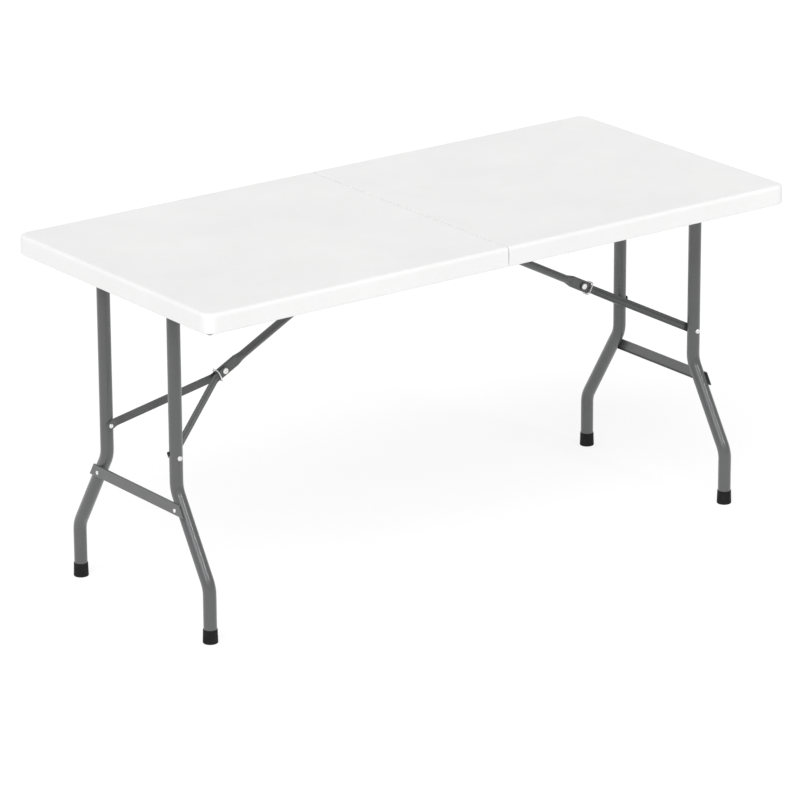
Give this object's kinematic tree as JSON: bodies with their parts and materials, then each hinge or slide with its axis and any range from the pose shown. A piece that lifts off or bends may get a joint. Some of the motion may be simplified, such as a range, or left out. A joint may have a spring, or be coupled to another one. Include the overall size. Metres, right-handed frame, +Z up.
{
  "type": "folding table",
  "caption": "Fold-in-half folding table: moulded plastic top in two hinged halves on folding wishbone tube legs with hinged braces and a carry handle.",
  "frame": {"origin": "on the floor, under the middle of the table", "axes": "+X along the table's length, +Y towards the edge with the carry handle, +Z up"},
  "size_m": [1.5, 0.7, 0.74],
  "materials": {
    "top_plastic": "fine pebbled white polyethylene",
    "frame_paint": "dark grey powder coat",
    "bracket_steel": "dark grey powder coat, pressed steel",
    "rivet_zinc": "bright zinc plated",
    "screw_zinc": "zinc plated screws",
    "ring_wire": "bright plated wire",
    "foot_rubber": "black rubber",
    "plug_plastic": "black moulded plastic",
    "handle_plastic": "black moulded plastic"
  },
  "bodies": {
    "top_left": {"top_panel_left": "top_plastic", "side_rail_left_back": "bracket_steel", "leg_pivot_bracket_left_back": "bracket_steel", "hinge_plate_left_back": "bracket_steel", "side_rail_left_front": "bracket_steel", "leg_pivot_bracket_left_front": "bracket_steel", "hinge_plate_left_front": "bracket_steel", "brace_bracket_left": "bracket_steel", "screws_left": "screw_zinc", "hinge_rod": "frame_paint", "hinge_pins": "rivet_zinc"},
    "top_right": {"top_panel_right": "top_plastic", "side_rail_right_back": "bracket_steel", "leg_pivot_bracket_right_back": "bracket_steel", "hinge_plate_right_back": "bracket_steel", "side_rail_right_front": "bracket_steel", "leg_pivot_bracket_right_front": "bracket_steel", "hinge_plate_right_front": "bracket_steel", "brace_bracket_right": "bracket_steel", "screws_right": "screw_zinc", "handle_pins": "rivet_zinc"},
    "handle": {"handle_grip": "handle_plastic", "handle_strap_inner": "handle_plastic", "handle_strap_outer": "handle_plastic"},
    "brace_slide_right": {"brace_top_pin_right": "rivet_zinc"},
    "brace_slide_left": {"brace_top_pin_left": "rivet_zinc"},
    "legs_right": {"leg_pivot_tube_right": "frame_paint", "leg_tube_right_back": "frame_paint", "foot_cap_right_back": "foot_rubber", "leg_tube_right_front": "frame_paint", "foot_cap_right_front": "foot_rubber", "crossbar_right": "frame_paint", "crossbar_rivets_right": "rivet_zinc", "leg_rivets_right": "rivet_zinc", "leg_plug_right": "plug_plastic"},
    "brace_upper_right": {"brace_upper_arm_right": "frame_paint", "knee_rivet_right": "rivet_zinc"},
    "brace_lower_right": {"brace_lower_arm_right_back": "frame_paint", "brace_lower_arm_right_front": "frame_paint", "arm_rivets_right": "rivet_zinc"},
    "ring_right": {"lock_ring_right": "ring_wire"},
    "legs_left": {"leg_pivot_tube_left": "frame_paint", "leg_tube_left_back": "frame_paint", "foot_cap_left_back": "foot_rubber", "leg_tube_left_front": "frame_paint", "foot_cap_left_front": "foot_rubber", "crossbar_left": "frame_paint", "crossbar_rivets_left": "rivet_zinc", "leg_rivets_left": "rivet_zinc", "leg_plug_left": "plug_plastic"},
    "brace_upper_left": {"brace_upper_arm_left": "frame_paint", "knee_rivet_left": "rivet_zinc"},
    "brace_lower_left": {"brace_lower_arm_left_back": "frame_paint", "brace_lower_arm_left_front": "frame_paint", "arm_rivets_left": "rivet_zinc"},
    "ring_left": {"lock_ring_left": "ring_wire"}
  },
  "joints": [
    {"name": "half_fold", "type": "hinge", "parent": "top_left", "child": "top_right", "pos_m": [0, 0, 0.69], "axis": [0, 1, 0], "range_deg": [0, 85]},
    {"name": "leg_fold_right", "type": "hinge", "parent": "top_right", "child": "legs_right", "pos_m": [0.7, 0, 0.692], "axis": [0, 1, 0], "range_deg": [0, 90]},
    {"name": "brace_slide_right", "type": "slide", "parent": "top_right", "child": "brace_slide_right", "axis": [1, 0, 0], "range_m": [0, 0.08266]},
    {"name": "brace_top_right", "type": "hinge", "parent": "brace_slide_right", "child": "brace_upper_right", "pos_m": [0.032, 0, 0.708], "axis": [0, -1, 0], "range_deg": [0, 27.95]},
    {"name": "brace_knee_right", "type": "hinge", "parent": "brace_upper_right", "child": "brace_lower_right", "pos_m": [0.47357, 0, 0.47804], "axis": [0, 1, 0], "range_deg": [0, 180]},
    {"name": "ring_slide_right", "type": "slide", "parent": "brace_upper_right", "child": "ring_right", "axis": [-0.8869, 0, 0.4619], "range_m": [0, 0.13]},
    {"name": "leg_fold_left", "type": "hinge", "parent": "top_left", "child": "legs_left", "pos_m": [-0.7, 0, 0.692], "axis": [0, -1, 0], "range_deg": [0, 90]},
    {"name": "brace_slide_left", "type": "slide", "parent": "top_left", "child": "brace_slide_left", "axis": [-1, 0, 0], "range_m": [0, 0.08266]},
    {"name": "brace_top_left", "type": "hinge", "parent": "brace_slide_left", "child": "brace_upper_left", "pos_m": [-0.032, 0, 0.708], "axis": [0, 1, 0], "range_deg": [0, 27.95]},
    {"name": "brace_knee_left", "type": "hinge", "parent": "brace_upper_left", "child": "brace_lower_left", "pos_m": [-0.47357, 0, 0.47804], "axis": [0, -1, 0], "range_deg": [0, 180]},
    {"name": "ring_slide_left", "type": "slide", "parent": "brace_upper_left", "child": "ring_left", "axis": [0.8869, 0, 0.4619], "range_m": [0, 0.13]},
    {"name": "handle_swing", "type": "hinge", "parent": "top_right", "child": "handle", "pos_m": [0.356, 0.34, 0.706], "axis": [1, 0, 0], "range_deg": [0, 90]}
  ],
  "couplings": [
    {"joint": "brace_slide_right", "follows": "leg_fold_right", "m_per_rad": 0.052616},
    {"joint": "brace_top_right", "follows": "leg_fold_right", "ratio": 0.3105},
    {"joint": "brace_knee_right", "follows": "leg_fold_right", "ratio": 2},
    {"joint": "ring_slide_right", "follows": "leg_fold_right", "m_per_rad": 0.082754},
    {"joint": "brace_slide_left", "follows": "leg_fold_left", "m_per_rad": 0.052616},
    {"joint": "brace_top_left", "follows": "leg_fold_left", "ratio": 0.3105},
    {"joint": "brace_knee_left", "follows": "leg_fold_left", "ratio": 2},
    {"joint": "ring_slide_left", "follows": "leg_fold_left", "m_per_rad": 0.082754}
  ]
}
